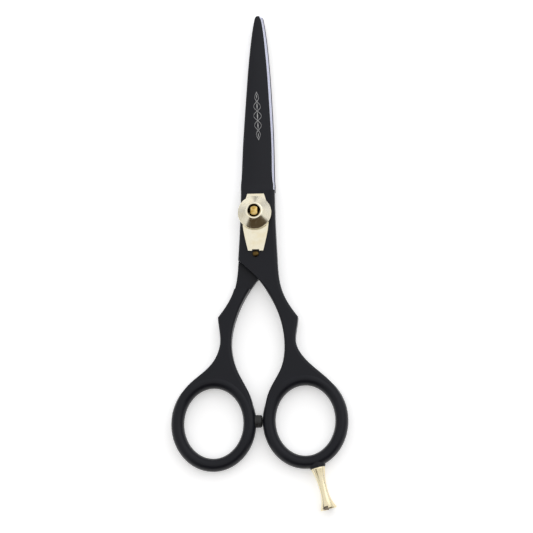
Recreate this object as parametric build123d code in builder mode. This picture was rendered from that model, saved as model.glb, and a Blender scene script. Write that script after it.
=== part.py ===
from build123d import *
import os
from math import cos, radians, sin, sqrt

# Hair cutting shears, lying closed. The origin is on the pivot axis, on the
# surface that the shears lie on. +Z goes up the pivot to the adjusting knob,
# +Y to the tips, and +X to the handle of the finger blade. Millimetres.
#
# Both blades are drawn by the same functions. side is +1 for the finger
# blade, whose handle and cutting edge are on +X, and -1 for the thumb blade.
# A half width h is measured from the closed shears' own centre line, which
# crosses the pivot a little to one side.

# ---- lengths from the pivot
blade_reach = 63.6        # pivot to tip
heel_y = 7.5              # where the ground blade begins
lap_corner_y = -13.9      # end of the lap's straight spine side
crotch_y = -19.4          # where the two handles part
step_y = -22.7            # shoulder where a handle gets its full thickness
barb_y = -31.2            # pointed knuckle on the outside of each handle
waist_y = -38.3           # slimmest place of a handle
finger_ring_y = -61.65    # centre of the finger ring
thumb_ring_drop = 0.65    # the thumb ring's centre lies this much lower

# ---- widths
lap_axis = 0.78           # centre line of laps and handles
tip_axis = 1.15           # centre line of blades and rings
tip_axis_y = 35.0         # the blade's centre line is straight beyond this
lap_half = 5.2            # half width of the lap at the pivot
edge_relief = 0.15        # the edge side of a lap is this much narrower
waist_outer = 11.1
waist_inner = 7.8
ring_gap = 1.82           # between the two closed rings
blade_root_half = 5.12    # spine of the ground blade at the heel
blade_edge_half = 4.83    # cutting edge at the heel
tip_root_half = 1.15      # the same two at the tip
tip_edge_half = 0.6
root_belly = 0.28         # how full the two outlines are between heel and tip
edge_belly = -0.1
barb_half = 11.85

# ---- thicknesses
handle_bottom = 0.2
handle_thick = 4.6
ride_gap = 0.1            # between the two inner faces
bead_wide = 3.8           # ring section
bead_thick = 5.0
hole_half_wide = 8.65     # finger hole
hole_half_long = 10.2
blade_thick = 2.0         # ground blade near the heel
tip_thick = 0.95

# ---- edges
edge_round = 0.9          # rounding of the handles' long edges
spine_chamfer = 0.3       # along the back of the ground blade, outside
ride_chamfer = 0.2        # and inside
plunge_long = 1.8         # where the lap's thickness runs down to the grind
tip_round_root = 0.8      # rounding of the tip, seen from above
tip_round_edge = 0.5
bevel_wide = 0.27         # honed bevel along the cutting edge
bevel_land = 0.12         # thickness left at the very edge
hollow_deep = 0.1         # hollow of the inner face

# ---- pivot
screw_dia = 4.0
screw_clearance = 0.05    # radial, wherever the screw runs or passes
head_dia = 7.0
head_thick = 0.9
thread_dia = 3.4
thread_flats = 2.65
thread_top = 8.75
thread_start = 5.0
thread_chamfer = 0.35
head_chamfer = 0.12
bush_wall = 0.7
washer_dia = 9.0
washer_thick = 0.5
washer_gap = 0.02         # left free in its two recesses

# ---- tension plate, its pin and the knob
plate_thick = 0.5
plate_bow = 0.3
plate_axis = 0.25         # centre line of the plate and its pin
plate_top_y = 6.1
plate_wide_y = -2.6
plate_end_y = -11.4
plate_half_top = 2.45
plate_half_wide = 3.9
plate_half_end = 2.25
plate_upper_ease = 0.3    # the outline is this much narrower between those
plate_lower_ease = 0.75
plate_lower_shift = 0.6
pin_dia = 2.0
pin_y = -12.2
pin_rise = 0.8            # above the lap's face
pin_deep = 1.5
pin_round = 0.7
pin_clearance = 0.06      # in the plate's notch, each side
notch_extra = 0.3         # the notch is this much longer than wide
pin_fit = 0.01            # radial, in its hole
key_clearance = 0.1       # across the plate's keyed hole
knob_dia = 10.0
knob_thick = 3.35
knob_gap = 0.05
knob_hub_dia = 4.9
knob_rim_drop = 2.4       # the cone falls this far from hub to rim
knob_bore = 3.8
knob_bore_deep = 2.3
knob_foot_chamfer = 0.25
knob_rim_round = 0.2
knob_hub_round = 0.4
knob_lip_chamfer = 0.15

# ---- bumper and finger rest
bumper_dia = 3.7
bumper_rise = 0.5         # above the thumb ring's centre, along Y
bumper_gap = 0.08         # to the finger ring when closed
bumper_round = 0.6
bumper_fit = 0.05         # radial, in its seat
stem_dia = 1.8
stem_long = 2.4
seat_deep = 0.35
rest_angle = 14.2         # from -Y towards +X
boss_dia = 4.7
boss_rise = 0.1           # past the ring's outside
rest_washer_thick = 0.25
rest_length = 12.15
rest_flange_dia = 4.1
rest_waist_dia = 2.3
rest_end_dia = 4.9
stud_dia = 2.4
stud_long = 2.7
stud_clearance = 0.05
rest_slot_wide = 1.2
rest_slot_deep = 0.9
rest_slot_turn = 16       # degrees about the rest, from upright
rest_neck_at = 0.25       # places along the rest, as shares of its length
rest_waist_at = 0.52
rest_flare_at = 0.8
rest_neck_full = 0.28     # radius there above the waist's
rest_flare_full = 0.42
rest_end_chamfer = 0.15
rest_rim = 0.35           # thickness of the flange's edge, and of the far end's
rest_washer_lip = 0.1     # the washer shows this much round the flange
drill_extra = 0.1         # blind holes are this much deeper than what they hold

# ---- places that follow from the sizes above
thumb_ring_y = finger_ring_y - thumb_ring_drop
handle_top = handle_bottom + handle_thick
mid_z = bead_thick / 2
ride_low = mid_z - ride_gap / 2
ride_high = mid_z + ride_gap / 2
crest_half_wide = hole_half_wide + bead_wide / 2
crest_half_long = hole_half_long + bead_wide / 2
ring_half_wide = crest_half_wide + bead_wide / 2
ring_offset = ring_half_wide + ring_gap / 2    # ring centre from the centre line
washer_recess = (washer_thick - ride_gap) / 2
plate_crest_z = handle_top + plate_bow + plate_thick
knob_bottom = plate_crest_z + knob_gap
knob_top = knob_bottom + knob_thick

os.makedirs("parts", exist_ok=True)


def save(piece, label):
    """Name a finished piece and write its STEP file."""
    piece.part.label = label
    export_step(piece.part, f"parts/{label}.step")


def axis_at(y):
    """X of the closed shears' centre line at y, from the lap to the tip."""
    share = min(max(y / tip_axis_y, 0), 1)
    return lap_axis + (tip_axis - lap_axis) * share


def at(side, h, y):
    """Point of the lap or handle, h outwards on the given side."""
    return (lap_axis + side * h, y)


def ring_centre(side):
    ring_y = finger_ring_y if side > 0 else thumb_ring_y
    return (tip_axis + side * ring_offset, ring_y)


def near_ring(side, out, up):
    """Point given from the ring's centre, out away from the other ring."""
    x, y = ring_centre(side)
    return (x + side * out, y + up)


def half_plate(side):
    """Outline of one blade's lap and handle, seen from above."""
    corner = (crest_half_wide - 0.5, -2.0)
    with BuildSketch() as plate:
        with BuildLine():
            outer = Spline(
                at(side, lap_half - edge_relief, heel_y),
                at(side, lap_half, 0),
                at(side, lap_half + 0.65, lap_corner_y),
                at(side, lap_half + 1.45, crotch_y - 1.8),
                at(side, lap_half + 2.4, step_y - 1.6),
                at(side, lap_half + 4.1, step_y - 4.9),
                at(side, barb_half, barb_y),
            )
            knuckle = Spline(
                outer @ 1,
                at(side, waist_outer + 0.3, (barb_y + waist_y) / 2),
                at(side, waist_outer, waist_y),
                near_ring(side, 0.6, 17.4),
                near_ring(side, 6.9, 11.7),
                near_ring(side, 9.8, 8.1),
                near_ring(side, corner[0], corner[1]),
            )
            inner = Spline(
                at(side, 0, crotch_y),
                at(side, 1.3, crotch_y - 1.8),
                at(side, 3.3, crotch_y - 4.9),
                at(side, waist_inner - 1.4, barb_y),
                at(side, waist_inner, waist_y - 1.0),
                near_ring(side, -7.1, 15.0),
                near_ring(side, -9.0, 11.4),
                near_ring(side, -10.75, 7.8),
                near_ring(side, -11.6, 4.1),
                near_ring(side, -corner[0], corner[1]),
            )
            Line(knuckle @ 1, inner @ 1)
            diagonal = Line(inner @ 0, at(side, -(lap_half + 0.65), lap_corner_y))
            spine = Spline(
                diagonal @ 1,
                at(side, -lap_half, 0),
                at(side, -(lap_half - edge_relief), heel_y),
            )
            Line(spine @ 1, outer @ 0)
        make_face()
    return plate.sketch


def below_step(side):
    """The part of a handle that has its full thickness."""
    far = 100
    with BuildSketch() as handle:
        add(half_plate(side))
        with Locations((0, step_y - far / 2)):
            Rectangle(far, far, mode=Mode.INTERSECT)
    return handle.sketch


def inside_crest(side):
    """What is cut from the flat handle so that only the bead rounds the hole."""
    with BuildSketch() as opening:
        with Locations(ring_centre(side)):
            Ellipse(crest_half_wide - 0.3, crest_half_long - 0.3)
    return opening.sketch


def ring_bead(side):
    """Round bead that is swept once about the finger hole."""
    x, y = ring_centre(side)
    start = 90 - 90 * side         # the seam lies on the outside of the shears
    with BuildPart() as bead:
        with BuildLine(Plane.XY.offset(mid_z)):
            EllipticalCenterArc((x, y), crest_half_wide, crest_half_long, start, arc_size=360)
        with BuildSketch(Plane.XZ.offset(-y)):
            with Locations((x + side * crest_half_wide, mid_z)):
                Ellipse(bead_wide / 2, bead_thick / 2)
        sweep()
    return bead.part


def blade_section(side, y, spine, edge, thick):
    """Section of a ground blade: flat spine, convex face, honed bevel, hollow."""
    x_spine = axis_at(y) - side * spine
    x_edge = axis_at(y) + side * edge
    ride = ride_high if side > 0 else ride_low
    out = side                     # the outer face is up on the finger blade
    wide = spine + edge
    bevel = min(bevel_wide, wide / 4)
    face_low = bevel_land + 0.45 * thick

    def point(from_spine, from_ride):
        return (x_spine + side * from_spine, ride + out * from_ride)

    with BuildSketch(Plane.XZ.offset(-y)) as section:
        with BuildLine():
            land = ride_chamfer + 0.08 * wide
            back = Line(point(0, ride_chamfer), point(0, thick - spine_chamfer))
            corner = Line(back @ 1, point(spine_chamfer, thick))
            face = ThreePointArc(
                corner @ 1,
                point(0.5 * wide, face_low + 0.78 * (thick - face_low)),
                point(wide - bevel, face_low),
            )
            hone = Line(face @ 1, point(wide, bevel_land))
            edge_line = Line(hone @ 1, point(wide, 0))
            ride_line = Line(edge_line @ 1, point(wide - land, 0))
            hollow = ThreePointArc(
                ride_line @ 1,
                point(0.5 * wide, min(hollow_deep, thick / 8)),
                point(land, 0),
            )
            ride_end = Line(hollow @ 1, point(ride_chamfer, 0))
            Line(ride_end @ 1, back @ 0)
        make_face()
    return section.sketch


def taper(root, tip, belly, share):
    """Half width of the ground blade, share of the way from plunge to tip."""
    left = (1 - share) * (1 + belly * share)
    return sqrt(tip**2 + (root**2 - tip**2) * left)


def blade_halves(share):
    """Half widths to the spine and to the cutting edge."""
    return (
        taper(blade_root_half, tip_root_half, root_belly, share),
        taper(blade_edge_half, tip_edge_half, edge_belly, share),
    )


def tip_corner(side, half, tip_half, radius):
    """Corner that is cut off the tip on one side to round it, seen from above."""
    x_low = axis_at(blade_reach) + side * half
    x_top = axis_at(blade_reach) + side * (tip_half - radius)
    y_low = blade_reach - radius
    bulge = radius * sqrt(0.5)
    with BuildSketch() as corner:
        with BuildLine():
            arc = ThreePointArc(
                (x_low, y_low),
                (x_top + side * (bulge + 0.3 * (half - tip_half)), y_low + bulge),
                (x_top, blade_reach),
            )
            Polyline(
                arc @ 1,
                (x_top, blade_reach + radius),
                (x_low + side * radius, blade_reach + radius),
                (x_low + side * radius, y_low),
                arc @ 0,
            )
        make_face()
    return corner.sketch


def ground_blade(side):
    """The blade from heel to tip, lofted in a short plunge and a long grind."""
    plunge_y = heel_y + plunge_long
    run = blade_reach - plunge_y
    lap_thick = (handle_thick - ride_gap) / 2
    root = blade_section(side, heel_y, blade_root_half, blade_edge_half, lap_thick)
    sections = [
        blade_section(
            side,
            plunge_y + run * share,
            *blade_halves(share),
            blade_thick + (tip_thick - blade_thick) * share,
        )
        for share in (0, 0.2, 0.4, 0.6, 0.75, 0.875, 0.95, 1)
    ]
    spine_low, _ = blade_halves(1 - tip_round_root / run)
    _, edge_low = blade_halves(1 - tip_round_edge / run)
    with BuildPart() as blade:
        add(root)
        add(sections[0])
        loft(ruled=True)
        add(sections)
        loft()
        with BuildSketch():
            add(tip_corner(-side, spine_low, tip_root_half, tip_round_root))
            add(tip_corner(side, edge_low, tip_edge_half, tip_round_edge))
        extrude(amount=bead_thick, mode=Mode.SUBTRACT)
    return blade.part


def long_edges(piece, z):
    """Curved edges of the outline at height z; the straight shoulders stay crisp."""
    edges = piece.edges().filter_by_position(Axis.Z, z - 0.01, z + 0.01)
    return edges.filter_by(GeomType.BSPLINE)


def half_shears(side):
    """One forging: lap, handle, ring and ground blade, without its holes."""
    lap_floor = ride_high if side > 0 else handle_bottom
    lap_roof = handle_top if side > 0 else ride_low
    rest_floor = handle_bottom if side > 0 else ride_low
    rest_roof = ride_high if side > 0 else handle_top
    with BuildPart() as half:
        with BuildSketch(Plane.XY.offset(lap_floor)):
            add(half_plate(side))
        extrude(amount=lap_roof - lap_floor)
        with BuildSketch(Plane.XY.offset(rest_floor)):
            add(below_step(side))
        extrude(amount=rest_roof - rest_floor)
        fillet(long_edges(half, handle_top), edge_round)
        fillet(long_edges(half, handle_bottom), edge_round)
        with BuildSketch(Plane.XY):
            add(inside_crest(side))
        extrude(amount=bead_thick, mode=Mode.SUBTRACT)
        add(ring_bead(side))
        add(ground_blade(side))
    return half.part


def pivot_hole(dia, low, high):
    """Round cutter on the pivot axis."""
    with BuildPart() as cutter:
        with BuildSketch(Plane.XY.offset(low)):
            Circle(dia / 2)
        extrude(amount=high - low)
    return cutter.part


def flatted_round(dia, flats):
    """Round with two flats that face along X."""
    with BuildSketch() as profile:
        Circle(dia / 2)
        Rectangle(flats, dia, mode=Mode.INTERSECT)
    return profile.sketch


# ---- finger rest: its axis runs out of the finger ring's centre
rest_direction = Vector(sin(radians(rest_angle)), -cos(radians(rest_angle)), 0)
rest_centre = Vector(*ring_centre(1), mid_z)
rest_axis = Axis(rest_centre, rest_direction)
rest_plane = Plane(
    origin=rest_centre,
    x_dir=(0, 0, 1),
    z_dir=Vector(0, 0, 1).cross(rest_direction),
)
crest_turn = radians(rest_angle) * crest_half_long / crest_half_wide
ring_reach = bead_wide / 2 + sqrt(
    (crest_half_wide * sin(crest_turn)) ** 2 + (crest_half_long * cos(crest_turn)) ** 2
)
boss_face = ring_reach + boss_rise
rest_start = boss_face + rest_washer_thick


def turned_on_rest(inner, outer, near, far):
    """Ring or rod turned about the rest's axis, between two distances along it."""
    with BuildPart() as turned:
        with BuildSketch(rest_plane):
            with Locations(((inner + outer) / 2, (near + far) / 2)):
                Rectangle(outer - inner, far - near)
        revolve(axis=rest_axis)
    return turned.part


# ---- bumper: its axis runs along X from the thumb ring to the finger ring
bumper_y = thumb_ring_y + bumper_rise
thumb_ring_side = ring_centre(-1)[0] + ring_half_wide
finger_ring_side = ring_centre(1)[0] - ring_half_wide
bumper_seat = thumb_ring_side - seat_deep
bumper_axis = Axis((0, bumper_y, mid_z), (1, 0, 0))


def turned_on_bumper(radius, near, far):
    """Rod about the bumper's axis, between two places on X."""
    with BuildPart() as turned:
        with BuildSketch(Plane.YZ.offset(near)):
            with Locations((bumper_y, mid_z)):
                Circle(radius)
        extrude(amount=far - near)
    return turned.part


# ---- finger blade
with BuildPart() as finger_blade:
    add(half_shears(1))
    add(turned_on_rest(0, boss_dia / 2, boss_face - bead_wide / 2, boss_face))
    screw_hole = screw_dia + 2 * screw_clearance
    add(pivot_hole(screw_hole, 0, handle_top), mode=Mode.SUBTRACT)
    add(pivot_hole(washer_dia, 0, ride_high + washer_recess), mode=Mode.SUBTRACT)
    with Locations((plate_axis, pin_y, handle_top)):
        Hole(pin_dia / 2 + pin_fit, depth=pin_deep + drill_extra)
    stud_end = rest_start - stud_long - drill_extra
    stud_hole = turned_on_rest(0, stud_dia / 2 + stud_clearance, stud_end, boss_face)
    add(stud_hole, mode=Mode.SUBTRACT)
save(finger_blade, "finger_blade")

# ---- thumb blade
bush_dia = screw_dia + 2 * screw_clearance + 2 * bush_wall
with BuildPart() as thumb_blade:
    add(half_shears(-1))
    head_hole = head_dia + 4 * screw_clearance
    head_seat = head_thick + screw_clearance
    add(pivot_hole(head_hole, 0, head_seat), mode=Mode.SUBTRACT)
    add(pivot_hole(bush_dia, head_seat, handle_top), mode=Mode.SUBTRACT)
    washer_hole = washer_dia + 4 * screw_clearance
    washer_floor = ride_low - washer_recess
    add(pivot_hole(washer_hole, washer_floor, ride_low), mode=Mode.SUBTRACT)
    seat = turned_on_bumper(bumper_dia / 2 + bumper_fit, bumper_seat, finger_ring_side)
    add(seat, mode=Mode.SUBTRACT)
    stem_end = bumper_seat - stem_long - drill_extra
    stem_hole = turned_on_bumper(stem_dia / 2, stem_end, bumper_seat)
    add(stem_hole, mode=Mode.SUBTRACT)
save(thumb_blade, "thumb_blade")

# ---- pivot screw
with BuildPart() as pivot_screw:
    with BuildSketch():
        Circle(head_dia / 2)
    extrude(amount=head_thick)
    with BuildSketch(Plane.XY.offset(head_thick)):
        Circle(screw_dia / 2)
    extrude(amount=thread_start - head_thick)
    with BuildSketch(Plane.XY.offset(thread_start)):
        add(flatted_round(thread_dia, thread_flats))
    extrude(amount=thread_top - thread_start)
    chamfer(pivot_screw.faces().sort_by(Axis.Z)[-1].edges(), thread_chamfer)
    chamfer(pivot_screw.faces().sort_by(Axis.Z)[0].edges(), head_chamfer)
save(pivot_screw, "pivot_screw")

# ---- nylon bush in the thumb blade
with BuildPart() as pivot_bush:
    with BuildSketch(Plane.XY.offset(head_seat)):
        Circle(bush_dia / 2)
        Circle(screw_dia / 2 + screw_clearance, mode=Mode.SUBTRACT)
    extrude(amount=washer_floor - head_seat)
save(pivot_bush, "pivot_bush")

# ---- washer let into both laps
with BuildPart() as blade_washer:
    with BuildSketch(Plane.XY.offset(washer_floor + washer_gap)):
        Circle(washer_dia / 2)
        Circle(screw_dia / 2 + screw_clearance, mode=Mode.SUBTRACT)
    extrude(amount=washer_thick - washer_gap)
save(blade_washer, "blade_washer")

# ---- tension plate: a bowed leaf with a keyed hole and a notch for its pin
with BuildPart() as tension_plate:
    with BuildSketch(Plane.YZ):
        with BuildLine():
            crown_y = (plate_top_y + plate_end_y) / 2
            under = ThreePointArc(
                (plate_end_y, handle_top),
                (crown_y, handle_top + plate_bow),
                (plate_top_y, handle_top),
            )
            Line(under @ 1, (plate_top_y, handle_top + plate_thick))
            over = ThreePointArc(
                (plate_top_y, handle_top + plate_thick),
                (crown_y, plate_crest_z),
                (plate_end_y, handle_top + plate_thick),
            )
            Line(over @ 1, under @ 0)
        make_face()
    extrude(amount=2 * plate_half_wide, both=True)
    with BuildSketch():
        with BuildLine():
            lower_y = (plate_wide_y + plate_end_y) / 2 - plate_lower_shift
            right = Spline(
                (plate_axis + plate_half_top, plate_top_y),
                (plate_axis + plate_half_wide - plate_upper_ease, (plate_top_y + plate_wide_y) / 2),
                (plate_axis + plate_half_wide, plate_wide_y),
                (plate_axis + plate_half_wide - plate_lower_ease, lower_y),
                (plate_axis + plate_half_end, plate_end_y),
            )
            mirror(right, about=Plane.YZ.offset(plate_axis))
            Line(right @ 0, (plate_axis - plate_half_top, plate_top_y))
            Line(right @ 1, (plate_axis - plate_half_end, plate_end_y))
        make_face()
        keyed = flatted_round(thread_dia + key_clearance, thread_flats + key_clearance)
        add(keyed, mode=Mode.SUBTRACT)
        with Locations((plate_axis, pin_y)):
            notch = pin_dia + 2 * pin_clearance
            Rectangle(notch, notch + notch_extra, mode=Mode.SUBTRACT)
    extrude(amount=2 * plate_crest_z, mode=Mode.INTERSECT)
save(tension_plate, "tension_plate")

# ---- pin in the plate's notch
with BuildPart() as plate_pin:
    with BuildSketch(Plane.XY.offset(handle_top - pin_deep)):
        with Locations((plate_axis, pin_y)):
            Circle(pin_dia / 2)
    extrude(amount=pin_deep + pin_rise)
    fillet(plate_pin.faces().sort_by(Axis.Z)[-1].edges(), pin_round)
save(plate_pin, "plate_pin")

# ---- knob: a low cone with a rounded rim, threaded on the screw
with BuildPart() as tension_knob:
    with BuildSketch(Plane.XZ):
        with BuildLine():
            rim = knob_dia / 2
            hub = knob_hub_dia / 2
            rim_z = knob_top - knob_rim_drop
            bore_floor = knob_top - knob_bore_deep
            thread_bore = thread_dia / 2 + screw_clearance
            cone = Line((rim, rim_z), (hub, knob_top))
            Polyline(
                cone @ 1,
                (knob_bore / 2, knob_top),
                (knob_bore / 2, bore_floor),
                (thread_bore, bore_floor),
                (thread_bore, knob_bottom),
                (rim - knob_foot_chamfer, knob_bottom),
                (rim, knob_bottom + knob_foot_chamfer),
                cone @ 0,
            )
        make_face()
    revolve(axis=Axis.Z)
    circles = tension_knob.edges().filter_by(GeomType.CIRCLE)
    rim_edge = circles.filter_by(lambda e: e.radius > rim - 0.01).sort_by(Axis.Z)[-1:]
    fillet(rim_edge, knob_rim_round)
    fillet(circles.filter_by(lambda e: abs(e.radius - hub) < 0.01), knob_hub_round)
    circles = tension_knob.edges().filter_by(GeomType.CIRCLE)
    bore_edge = circles.filter_by(lambda e: abs(e.radius - knob_bore / 2) < 0.01)
    chamfer(bore_edge.sort_by(Axis.Z)[-1:], knob_lip_chamfer)
save(tension_knob, "tension_knob")

# ---- bumper
with BuildPart() as bumper:
    with BuildSketch(Plane.YZ.offset(bumper_seat)):
        with Locations((bumper_y, mid_z)):
            Circle(bumper_dia / 2)
    extrude(amount=finger_ring_side - bumper_gap - bumper_seat)
    fillet(bumper.faces().sort_by(Axis.X)[-1].edges(), bumper_round)
    with BuildSketch(Plane.YZ.offset(bumper_seat)):
        with Locations((bumper_y, mid_z)):
            Circle(stem_dia / 2)
    extrude(amount=-stem_long)
save(bumper, "bumper")

# ---- finger rest: one turned piece with its stud and a slot across the end
rest_end = rest_start + rest_length
with BuildPart() as finger_rest:
    with BuildSketch(rest_plane):
        with BuildLine():
            foot = Line((0, rest_start), (rest_flange_dia / 2, rest_start))
            lip = Line(foot @ 1, (rest_flange_dia / 2, rest_start + rest_rim))
            side_line = Spline(
                lip @ 1,
                (rest_waist_dia / 2 + rest_neck_full, rest_start + rest_neck_at * rest_length),
                (rest_waist_dia / 2, rest_start + rest_waist_at * rest_length),
                (rest_waist_dia / 2 + rest_flare_full, rest_start + rest_flare_at * rest_length),
                (rest_end_dia / 2, rest_end - rest_rim),
            )
            corner_line = Line(side_line @ 1, (rest_end_dia / 2 - rest_end_chamfer, rest_end))
            end_line = Line(corner_line @ 1, (0, rest_end))
            Line(end_line @ 1, foot @ 0)
        make_face()
    revolve(axis=rest_axis)
    add(turned_on_rest(0, stud_dia / 2, rest_start - stud_long, rest_start))
    with BuildSketch(rest_plane * Rotation(0, rest_slot_turn, 0)):
        with Locations((0, rest_end)):
            Rectangle(2 * rest_end_dia, 2 * rest_slot_deep)
    extrude(amount=rest_slot_wide / 2, both=True, mode=Mode.SUBTRACT)
save(finger_rest, "finger_rest")

# ---- washer under the finger rest
with BuildPart() as rest_washer:
    inside = stud_dia / 2 + stud_clearance
    outside = rest_flange_dia / 2 + rest_washer_lip
    add(turned_on_rest(inside, outside, boss_face, rest_start))
save(rest_washer, "rest_washer")
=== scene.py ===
import math

import bmesh
import bpy
from mathutils import Matrix, Vector
from mathutils.bvhtree import BVHTree

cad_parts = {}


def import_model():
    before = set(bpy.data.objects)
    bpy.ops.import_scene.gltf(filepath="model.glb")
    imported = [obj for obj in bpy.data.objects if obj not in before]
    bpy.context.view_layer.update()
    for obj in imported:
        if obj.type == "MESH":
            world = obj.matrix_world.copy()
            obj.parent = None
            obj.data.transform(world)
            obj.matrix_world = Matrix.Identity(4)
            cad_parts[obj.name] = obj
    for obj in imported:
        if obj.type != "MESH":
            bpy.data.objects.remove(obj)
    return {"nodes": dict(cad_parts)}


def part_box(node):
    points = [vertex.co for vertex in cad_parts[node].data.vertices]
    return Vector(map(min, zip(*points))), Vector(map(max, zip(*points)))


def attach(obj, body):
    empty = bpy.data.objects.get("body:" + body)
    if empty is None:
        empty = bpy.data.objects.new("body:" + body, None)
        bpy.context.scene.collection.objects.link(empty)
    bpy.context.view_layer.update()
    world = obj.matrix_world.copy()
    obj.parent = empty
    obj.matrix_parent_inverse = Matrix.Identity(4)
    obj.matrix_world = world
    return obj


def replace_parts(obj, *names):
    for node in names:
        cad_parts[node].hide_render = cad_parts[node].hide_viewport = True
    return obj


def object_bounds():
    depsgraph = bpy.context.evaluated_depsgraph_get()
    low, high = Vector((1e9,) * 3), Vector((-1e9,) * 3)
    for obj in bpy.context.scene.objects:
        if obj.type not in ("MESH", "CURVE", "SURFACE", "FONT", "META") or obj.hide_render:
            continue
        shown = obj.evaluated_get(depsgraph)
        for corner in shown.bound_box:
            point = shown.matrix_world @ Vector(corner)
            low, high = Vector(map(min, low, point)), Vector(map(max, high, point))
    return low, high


# Looks for the hair cutting shears. Everything is in metres, in the frame of the
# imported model: the pivot axis is Z, the tips point to +Y, and the handle of the
# finger blade is on +X.

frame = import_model()
cad_low, cad_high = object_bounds()
nodes = frame["nodes"]
MM = 0.001


# ---- materials: a short way to write node trees
class Tree:
    """The node tree of a new material or world, around the shader that it starts with."""

    def __init__(self, name, kind="materials", shader="Principled BSDF"):
        self.owner = getattr(bpy.data, kind).new(name)
        self.owner.use_nodes = True
        self.nodes = self.owner.node_tree.nodes
        self.links = self.owner.node_tree.links
        self.shader = self.nodes[shader]

    def node(self, kind, inputs=None, **settings):
        made = self.nodes.new(kind)
        for key, value in settings.items():
            setattr(made, key, value)
        for key, value in (inputs or {}).items():
            self.feed(made.inputs[key], value)
        return made

    def feed(self, socket, value):
        if isinstance(value, bpy.types.NodeSocket):
            self.links.new(value, socket)
        else:
            socket.default_value = value

    def math(self, operation, a, b=0.0):
        made = self.node("ShaderNodeMath", operation=operation)
        self.feed(made.inputs[0], a)
        self.feed(made.inputs[1], b)
        return made.outputs[0]

    def ramp(self, value, low, high):
        """0 below low, 1 above high, smooth between; low may be the larger."""
        rising = low < high
        made = self.node(
            "ShaderNodeMapRange",
            {
                "Value": value,
                "From Min": min(low, high),
                "From Max": max(low, high),
                "To Min": 0.0 if rising else 1.0,
                "To Max": 1.0 if rising else 0.0,
            },
            interpolation_type="SMOOTHSTEP",
        )
        return made.outputs["Result"]

    def times(self, first, *others):
        """Product of numbers or sockets."""
        for other in others:
            first = self.math("MULTIPLY", first, other)
        return first

    def mix(self, share, a, b):
        """Mix of two numbers."""
        made = self.node("ShaderNodeMix", data_type="FLOAT")
        for number, value in zip((0, 2, 3), (share, a, b)):
            self.feed(made.inputs[number], value)
        return made.outputs[0]

    def mix_color(self, share, a, b):
        """Mix of two colours."""
        made = self.node("ShaderNodeMix", data_type="RGBA")
        for number, value in zip((0, 6, 7), (share, a, b)):
            self.feed(made.inputs[number], value)
        return made.outputs[2]

    def place(self):
        """Object coordinates and the object's own normal."""
        found = self.node("ShaderNodeTexCoord")
        return found.outputs["Object"], found.outputs["Normal"]

    def split(self, vector):
        return self.node("ShaderNodeSeparateXYZ", {0: vector}).outputs

    def dot(self, vector, direction):
        made = self.node("ShaderNodeVectorMath", {0: vector, 1: direction}, operation="DOT_PRODUCT")
        return made.outputs["Value"]

    def distance(self, value, middle):
        """How far a number is from middle."""
        return self.math("ABSOLUTE", self.math("SUBTRACT", value, middle))

    def from_pivot(self, x, y):
        """Distance from the pivot axis."""
        return self.math("SQRT", self.math("ADD", self.times(x, x), self.times(y, y)))

    def noise(self, vector, scale, detail=2.0, stretch=(1, 1, 1)):
        """Noise with features of about 1/scale metres, drawn out along an axis."""
        mapped = self.node("ShaderNodeMapping", {"Vector": vector, "Scale": stretch})
        made = self.node(
            "ShaderNodeTexNoise",
            {"Vector": mapped.outputs[0], "Scale": scale, "Detail": detail},
        )
        return made.outputs["Fac"]

    def bump(self, height, depth, under=None):
        """The surface raised by height times depth, on top of another bump if given."""
        inputs = {"Height": height, "Distance": depth, "Strength": 1.0}
        if under is not None:
            inputs["Normal"] = under
        return self.node("ShaderNodeBump", inputs).outputs[0]

    def put(self, **values):
        """Values or links for the shader's inputs, named with _ for a space."""
        for key, value in values.items():
            title = key.replace("_", " ").title().replace("Ior", "IOR")
            self.feed(self.shader.inputs[title], value)
        return self.owner


def grey(value):
    return (value, value, value, 1)


BLACK = (0.0070, 0.0075, 0.0106, 1)
BLACK_WORN = (0.018, 0.019, 0.027, 1)
STEEL = (0.60, 0.615, 0.73, 1)
HEEL_Y = 7.5 * MM             # the honed bevel starts here
GROUND_FROM_Y = -9.0 * MM     # the inner faces are ground bright from here to the tip
RIDE_Z = 2.5 * MM             # the height at which the blades slide on each other
COAT_SPECULAR = 0.18


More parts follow.
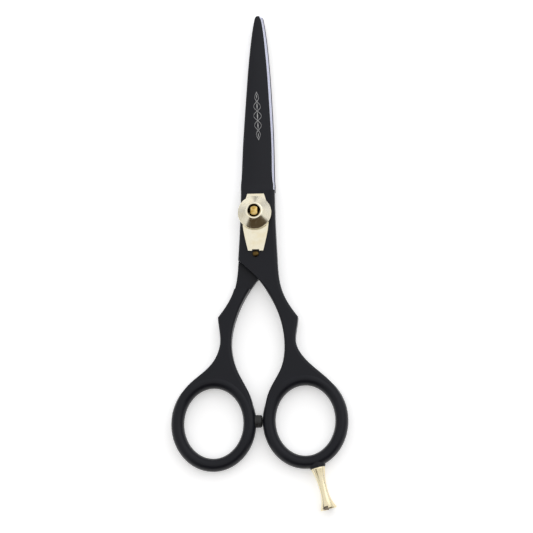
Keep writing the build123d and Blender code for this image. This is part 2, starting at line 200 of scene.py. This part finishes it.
def coated_blade(name, side):
    """Satin black coat; the inner face and the honed bevel are bright ground steel.

    side is 1 for the upper blade and -1 for the lower one, which lies upside down.
    """
    tree = Tree(name)
    place, normal = tree.place()
    y, z = tree.split(place)[1:]
    normal_x, _, normal_z = tree.split(normal)
    from_ride = tree.distance(z, RIDE_Z)
    # bright zones: the inner face of the whole blade, and the bevel past the heel
    faces_in = tree.ramp(tree.times(normal_z, -side), 0.9, 0.95)
    at_ride = tree.ramp(from_ride, 0.28 * MM, 0.2 * MM)
    past_pivot = tree.ramp(y, GROUND_FROM_Y, GROUND_FROM_Y + 0.4 * MM)
    inner = tree.times(faces_in, at_ride, past_pivot)
    past_heel = tree.ramp(y, HEEL_Y, HEEL_Y + 0.3 * MM)
    faces_edge = tree.ramp(tree.times(normal_x, side), 0.42, 0.5)
    near_ride = tree.ramp(from_ride, 1.15 * MM, 1.05 * MM)
    bevel = tree.times(faces_edge, past_heel, near_ride)
    bright = tree.math("MAXIMUM", inner, bevel)
    # coat: fine blasted grain, faint clouding, and wear where edges turn
    grain = tree.noise(place, 5200, 3.0)
    cloud = tree.noise(place, 160, 3.0)
    turned = tree.node("ShaderNodeBevel", {"Radius": 0.35 * MM}, samples=4).outputs[0]
    flat = tree.node("ShaderNodeNewGeometry").outputs["Normal"]
    edge = tree.times(tree.ramp(tree.dot(turned, flat), 0.985, 0.9), tree.ramp(cloud, 0.42, 0.62))
    worn = tree.math("ADD", tree.times(edge, 0.6), tree.times(cloud, 0.22))
    coat = tree.mix_color(worn, BLACK, BLACK_WORN)
    # steel: grinding lines across the blade
    lines = tree.noise(place, 900, 3.0, (1, 14, 1))
    steel_rough = tree.mix(lines, 0.16, 0.3)
    coat_rough = tree.mix(cloud, 0.28, 0.38)
    height = tree.mix(bright, grain, tree.times(lines, 0.4))
    return tree.put(
        base_color=tree.mix_color(bright, coat, STEEL),
        metallic=bright,
        roughness=tree.mix(bright, coat_rough, steel_rough),
        specular_ior_level=COAT_SPECULAR,
        normal=tree.bump(height, 0.0035 * MM),
    )


GOLD = (0.845, 0.79, 0.63, 1)
GOLD_DEEP = (0.76, 0.63, 0.34, 1)
SCREW_GOLD = (0.70, 0.52, 0.21, 1)
SCREW_DEEP = (0.46, 0.29, 0.06, 1)
SHADE_BROWN = (0.030, 0.019, 0.007, 1)      # painted shade, dark brown, in the knob's bore and on the pin's hidden side
# painted shade, lighter brown, inside the finger rest's slot
SLOT_SHADE_BROWN = (0.12, 0.075, 0.025, 1)
BRONZE = (0.16, 0.10, 0.03, 1)
BRONZE_DEEP = (0.07, 0.045, 0.015, 1)


def polished_gold(name, stretch):
    """Pale gold plating with fine polishing lines, drawn out as stretch says."""
    tree = Tree(name)
    place, _ = tree.place()
    lines = tree.noise(place, 900, 4.0, stretch)
    cloud = tree.noise(place, 350, 2.0)
    tint = tree.times(tree.ramp(cloud, 0.35, 0.75), 0.35)
    return tree.put(
        base_color=tree.mix_color(tint, GOLD, GOLD_DEEP),
        metallic=1.0,
        roughness=tree.mix(lines, 0.14, 0.26),
        normal=tree.bump(lines, 0.004 * MM),
    )


RING_CENTRE = Vector((14.51, -61.65, 2.5)) * MM  # the finger ring's
REST_LEAN = math.radians(14.2)                   # the rest points this far to the right of -Y
REST_END = 26.39 * MM                            # from the ring's centre to the rest's end
SLOT_TURN = math.radians(16)                     # of the slot about the rest, from upright
SLOT_DEEP = 0.9 * MM
SLOT_HALF = 0.6 * MM
REST_WAY = (math.sin(REST_LEAN), -math.cos(REST_LEAN), 0)
SLOT_ACROSS = (
    math.cos(REST_LEAN) * math.cos(SLOT_TURN),
    math.sin(REST_LEAN) * math.cos(SLOT_TURN),
    math.sin(SLOT_TURN),
)


def rest_gold(name):
    """Deeper gold than the plate's, polished along the rest, with painted shade in the slot."""
    tree = Tree(name)
    place, _ = tree.place()
    away = tree.node("ShaderNodeVectorMath", {0: place, 1: RING_CENTRE}, operation="SUBTRACT")
    along = tree.dot(away.outputs[0], REST_WAY)
    across = tree.math("ABSOLUTE", tree.dot(away.outputs[0], SLOT_ACROSS))
    lines = tree.noise(place, 1100, 4.0, (6, 1, 6))
    cloud = tree.noise(place, 350, 2.0)
    tint = tree.math("ADD", tree.times(cloud, 0.5), 0.2)
    # painted shade: the inside of the slot is darkened to brown
    slot = tree.times(
        tree.ramp(across, SLOT_HALF + 0.08 * MM, SLOT_HALF + 0.01 * MM),
        tree.ramp(along, REST_END - SLOT_DEEP - 0.06 * MM, REST_END - SLOT_DEEP - 0.01 * MM),
    )
    return tree.put(
        base_color=tree.mix_color(slot, tree.mix_color(tint, GOLD, GOLD_DEEP), SLOT_SHADE_BROWN),
        metallic=1.0,
        roughness=tree.mix(lines, 0.17, 0.30),
        normal=tree.bump(lines, 0.005 * MM),
    )


KNOB_BORE = 1.9 * MM
EASED_FROM = 2.5 * MM      # the knob's shading is eased outside this radius
EASED_SLOPE = 0.08


def turned_gold(name):
    """Pale gold on the turned knob: the lines run round the pivot axis, and the bore's wall is
    darkened with painted shade.

    A bump eases the cone's shading, so that it leans a little less than its mesh.
    """
    tree = Tree(name)
    place, _ = tree.place()
    x, y, z = tree.split(place)
    radius = tree.from_pivot(x, y)
    rings = tree.node("ShaderNodeCombineXYZ", {0: radius, 1: z})
    lines = tree.noise(rings.outputs[0], 6500, 3.0)
    cloud = tree.noise(place, 420, 2.0)
    tint = tree.times(tree.ramp(cloud, 0.4, 0.8), 0.25)
    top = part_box("tension_knob")[1].z
    # painted shade: the wall of the bore, below the hub's top, is darkened to dark brown
    inside = tree.times(
        tree.ramp(radius, KNOB_BORE + 0.1 * MM, KNOB_BORE),
        tree.ramp(z, top - 0.02 * MM, top - 0.3 * MM),
    )
    plated = tree.mix_color(tint, GOLD, GOLD_DEEP)
    eased = tree.bump(tree.times(tree.math("MAXIMUM", radius, EASED_FROM), EASED_SLOPE), 1.0)
    return tree.put(
        base_color=tree.mix_color(inside, plated, SHADE_BROWN),
        metallic=1.0,
        roughness=tree.mix(inside, tree.mix(lines, 0.16, 0.28), 0.5),
        normal=tree.bump(lines, 0.003 * MM, eased),
    )


def screw_end(name):
    """Deeper gold, with a slightly domed end and a turned centre mark."""
    tree = Tree(name)
    place, _ = tree.place()
    x, y = tree.split(place)[:2]
    radius = tree.from_pivot(x, y)
    lines = tree.noise(place, 1400, 4.0, (1, 1, 6))
    cloud = tree.noise(place, 900, 2.0)
    dome = tree.times(radius, radius, -1 / (6.0 * MM))
    mark = tree.times(tree.ramp(radius, 0.5 * MM, 0.2 * MM), -0.06 * MM)
    shape = tree.bump(tree.math("ADD", dome, mark), 1.0)
    tint = tree.ramp(cloud, 0.35, 0.7)
    return tree.put(
        base_color=tree.mix_color(tint, SCREW_GOLD, SCREW_DEEP),
        metallic=1.0,
        roughness=tree.mix(lines, 0.22, 0.36),
        normal=tree.bump(lines, 0.004 * MM, shape),
    )


def pin_with_painted_shade(name):
    """Bronze pin, with painted shade in dark brown on the side that the plate hides."""
    tree = Tree(name)
    place, _ = tree.place()
    y = tree.split(place)[1]
    low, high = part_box("plate_pin")
    middle = (low.y + high.y) / 2
    cloud = tree.noise(place, 700, 3.0)
    # painted shade: the pin's side under the plate's end is darkened to dark brown
    painted_plate_shade = tree.ramp(y, middle + 0.05 * MM, middle + 0.5 * MM)
    bronze = tree.mix_color(cloud, BRONZE, BRONZE_DEEP)
    return tree.put(
        base_color=tree.mix_color(painted_plate_shade, bronze, SHADE_BROWN),
        metallic=1.0,
        roughness=tree.mix(cloud, 0.26, 0.42),
        normal=tree.bump(cloud, 0.004 * MM),
    )


# colour, least roughness, scale of the grain, depth of the grain
NYLON = (grey(0.5), 0.45, 3000, 0.004 * MM)
RUBBER = (grey(0.008), 0.5, 5000, 0.006 * MM)


def moulded(name, color, rough, grain_scale, depth):
    """Moulded nylon or rubber with a fine grain."""
    tree = Tree(name)
    place, _ = tree.place()
    grain = tree.noise(place, grain_scale, 3.0)
    cloud = tree.noise(place, 500, 2.0)
    lighter = tuple(min(1.0, 1.5 * c) for c in color[:3]) + (1,)
    return tree.put(
        base_color=tree.mix_color(cloud, color, lighter),
        roughness=tree.mix(cloud, rough, rough + 0.15),
        normal=tree.bump(grain, depth),
    )


def etched_steel(name):
    """Frosted bare steel left by etching through the coat."""
    tree = Tree(name)
    place, _ = tree.place()
    frost = tree.noise(place, 9000, 3.0)
    return tree.put(
        base_color=tree.mix_color(frost, grey(0.24), grey(0.46)),
        metallic=0.6,
        roughness=tree.mix(frost, 0.38, 0.55),
        normal=tree.bump(frost, 0.004 * MM),
    )


def dress(node, material):
    """Give a CAD node its material."""
    for slot in nodes[node].material_slots:
        slot.material = material


dress("finger_blade", coated_blade("coated_finger_blade", 1))
dress("thumb_blade", coated_blade("coated_thumb_blade", -1))
dress("tension_knob", turned_gold("gold_knob"))
dress("tension_plate", polished_gold("gold_plate", (8, 1, 1)))
dress("finger_rest", rest_gold("gold_rest"))
dress("pivot_screw", screw_end("gold_screw"))
dress("plate_pin", pin_with_painted_shade("bronze_pin"))
dress("pivot_bush", moulded("nylon_bush", *NYLON))
dress("blade_washer", moulded("nylon_washer", *NYLON))
dress("bumper", moulded("rubber_bumper", *RUBBER))
dress("rest_washer", moulded("rubber_washer", *RUBBER))


# ---- pieces
def new_piece(name, mesh, material, body):
    """Turn a bmesh into a shown piece that rides on a body."""
    bmesh.ops.recalc_face_normals(mesh, faces=mesh.faces)
    data = bpy.data.meshes.new(name)
    mesh.to_mesh(data)
    mesh.free()
    data.materials.append(material)
    made = bpy.data.objects.new(name, data)
    bpy.context.scene.collection.objects.link(made)
    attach(made, body)
    return made


def surface_of(node):
    """Height of a node's upper surface at x, y."""
    mesh = nodes[node].data
    tree = BVHTree.FromPolygons(
        [v.co for v in mesh.vertices], [p.vertices for p in mesh.polygons]
    )

    def height(x, y):
        hit = tree.ray_cast(Vector((x, y, cad_high.z + 0.01)), Vector((0, 0, -1)))[0]
        return hit.z

    return height


ORNAMENT_MIDDLE = Vector((0.75, 31.0)) * MM
ORNAMENT_LEAN = 0.045       # it leans with the blade's spine
ORNAMENT_LONG = 15.5 * MM
ORNAMENT_HALF = 1.15 * MM   # how far the strands swing to each side
EYES = 5                    # between the two strands
STROKE = 0.07 * MM          # half the width of a strand where they cross
STROKE_PROUD = 0.012 * MM
STROKE_SUNK = 0.05 * MM


def ornament():
    """Etched braid of two strands with a lozenge in each eye, on the finger blade."""
    height = surface_of("finger_blade")
    mesh = bmesh.new()

    def on_blade(across, along):
        x = ORNAMENT_MIDDLE.x + across - ORNAMENT_LEAN * along
        return x, ORNAMENT_MIDDLE.y + along

    def stroke(points, widths):
        rows = []
        for i, (point, width) in enumerate(zip(points, widths)):
            before = Vector(points[max(i - 1, 0)])
            after = Vector(points[min(i + 1, len(points) - 1)])
            way = (after - before).normalized()
            side = Vector((-way.y, way.x)) * width
            row = []
            for sign, lift in ((1, 1), (-1, 1), (-1, 0), (1, 0)):
                x, y = on_blade(point[0] + sign * side.x, point[1] + sign * side.y)
                z = height(x, y) + (STROKE_PROUD if lift else -STROKE_SUNK)
                row.append(mesh.verts.new((x, y, z)))
            rows.append(row)
        for low, high in zip(rows, rows[1:]):
            for k in range(4):
                mesh.faces.new((low[k], low[(k + 1) % 4], high[(k + 1) % 4], high[k]))
        mesh.faces.new(rows[0][::-1])
        mesh.faces.new(rows[-1])

    steps = 120
    for phase in (1, -1):
        points, widths = [], []
        for i in range(steps + 1):
            share = i / steps
            swell = math.sin(math.pi * share) ** 0.6
            across = phase * ORNAMENT_HALF * swell * math.sin(math.pi * EYES * share)
            points.append((across, (share - 0.5) * ORNAMENT_LONG))
            widths.append(STROKE * (0.45 + 0.55 * abs(math.cos(math.pi * EYES * share))))
        stroke(points, widths)
    for eye in range(EYES):
        share = (eye + 0.5) / EYES
        centre = (share - 0.5) * ORNAMENT_LONG
        size = 0.42 * ORNAMENT_LONG / EYES * math.sin(math.pi * share) ** 0.5
        along = [t / 8 - 1 for t in range(17)]
        points = [(0, centre + size * t) for t in along]
        widths = [0.02 * MM + 0.13 * size * (1 - abs(t)) for t in along]
        stroke(points, widths)
    steel = etched_steel("etched_steel")
    new_piece("etched_ornament", mesh, steel, "finger_side")


def screw_thread():
    """Helical ridges on the round sides of the pivot screw's flatted end."""
    radius = 1.7 * MM
    half_flat = 1.325 * MM      # from the axis to each flat
    pitch = 0.5 * MM
    ridge = 0.09 * MM
    sunk = 0.04 * MM
    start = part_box("tension_knob")[1].z - 1.9 * MM
    turns = int((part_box("pivot_screw")[1].z - 0.45 * MM - start) / pitch)
    span = math.asin(half_flat / radius)
    steps = 14
    mesh = bmesh.new()
    for turn in range(turns):
        for middle in (math.pi / 2, -math.pi / 2):
            rows = []
            for i in range(steps + 1):
                angle = middle + span * (2 * i / steps - 1)
                crest = ridge * math.sin(math.pi * i / steps) ** 0.35
                z = start + pitch * (turn + (angle / (2 * math.pi)) % 1)
                row = []
                for out, up in ((-sunk, -0.35), (crest, -0.06), (crest, 0.06), (-sunk, 0.35)):
                    r = radius + out
                    corner = (r * math.cos(angle), r * math.sin(angle), z + up * pitch)
                    row.append(mesh.verts.new(corner))
                rows.append(row)
            for a, b in zip(rows, rows[1:]):
                for k in range(4):
                    mesh.faces.new((a[k], a[(k + 1) % 4], b[(k + 1) % 4], b[k]))
            mesh.faces.new(rows[0][::-1])
            mesh.faces.new(rows[-1])
    new_piece("screw_thread", mesh, bpy.data.materials["gold_screw"], "finger_side")


def slim_washer():
    """Washer that stays inside the lap: the CAD washer reaches 0.08 mm past the lap's side."""
    low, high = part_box("blade_washer")
    inner, outer = 2.05 * MM, 3.8 * MM
    ease = 0.06 * MM
    profile = (
        (inner, low.z), (outer - ease, low.z), (outer, low.z + ease),
        (outer, high.z - ease), (outer - ease, high.z), (inner, high.z),
    )
    mesh = bmesh.new()
    steps = 96
    rows = []
    for i in range(steps):
        turn = 2 * math.pi * i / steps
        x, y = math.cos(turn), math.sin(turn)
        rows.append([mesh.verts.new((r * x, r * y, z)) for r, z in profile])
    count = len(profile)
    for i in range(steps):
        a, b = rows[i], rows[(i + 1) % steps]
        for k in range(count):
            mesh.faces.new((a[k], b[k], b[(k + 1) % count], a[(k + 1) % count]))
    nylon = bpy.data.materials["nylon_washer"]
    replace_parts(new_piece("slim_washer", mesh, nylon, "finger_side"), "blade_washer")


ornament()
screw_thread()
slim_washer()


# ---- floor, light and camera
def floor():
    mesh = bmesh.new()
    bmesh.ops.create_circle(mesh, cap_ends=True, segments=96, radius=3.0)
    data = bpy.data.meshes.new("floor")
    mesh.to_mesh(data)
    mesh.free()
    tree = Tree("floor_white")
    place, _ = tree.place()
    soft = tree.noise(place, 12, 2.0)
    material = tree.put(
        base_color=tree.mix_color(soft, grey(0.90), grey(0.92)),
        roughness=0.9,
        specular_ior_level=0.0,
        emission_color=grey(1.0),
        emission_strength=0.35,
    )
    data.materials.append(material)
    made = bpy.data.objects.new("floor", data)
    made.location = (0, 0, cad_low.z - 0.02 * MM)
    bpy.context.scene.collection.objects.link(made)


HORIZON = (0.50, 0.51, 0.56, 1)
CARD = (0.075, 0.052, 0.028, 1)


def world():
    """White studio, greyer towards the horizon, with one dark card beyond the handles."""
    tree = Tree("studio", "worlds", "Background")
    x, y, z = tree.split(tree.node("ShaderNodeTexCoord").outputs["Generated"])
    card = tree.times(
        tree.ramp(y, -0.28, -0.34),
        tree.ramp(x, -0.68, -0.60),
        tree.ramp(x, 0.88, 0.82),
        tree.ramp(z, 0.82, 0.74),
    )
    walls = tree.mix_color(tree.ramp(z, 0.0, 0.42), HORIZON, grey(1.0))
    bpy.context.scene.world = tree.put(color=tree.mix_color(card, walls, CARD), strength=1.0)


def soft_light(name, place, size, watts, color):
    """A round lamp that points at the pivot."""
    data = bpy.data.lights.new(name, "AREA")
    data.shape = "DISK"
    data.size = size
    data.energy = watts
    data.color = color
    made = bpy.data.objects.new(name, data)
    made.location = place
    made.rotation_euler = (-Vector(place)).to_track_quat("-Z", "Y").to_euler()
    bpy.context.scene.collection.objects.link(made)


VIEW_CENTRE = Vector((3.28, -15.66, 2.5)) * MM
VIEW_DISTANCE = 0.44045
TO_THE_RIGHT = math.radians(4)
TO_THE_HANDLES = math.radians(13)
ROLL = math.radians(0.127)


def camera():
    """Seen from above, a little from the handles and from the right."""
    data = bpy.data.cameras.new("camera")
    data.lens = 100
    data.sensor_width = 36
    data.clip_start = 0.01
    away = Vector((math.tan(TO_THE_RIGHT), -math.tan(TO_THE_HANDLES), 1)).normalized()
    right = Vector((math.sin(ROLL), math.cos(ROLL), 0)).cross(away).normalized()
    up = away.cross(right)
    made = bpy.data.objects.new("camera", data)
    made.location = VIEW_CENTRE + away * VIEW_DISTANCE
    made.rotation_euler = Matrix((right, up, away)).transposed().to_euler()
    bpy.context.scene.collection.objects.link(made)
    bpy.context.scene.camera = made


floor()
world()
soft_light("key", (0.45, 0.35, 0.55), 1.0, 1.2, (0.93, 0.95, 1.0))
camera()
bpy.context.scene.view_settings.view_transform = "Standard"
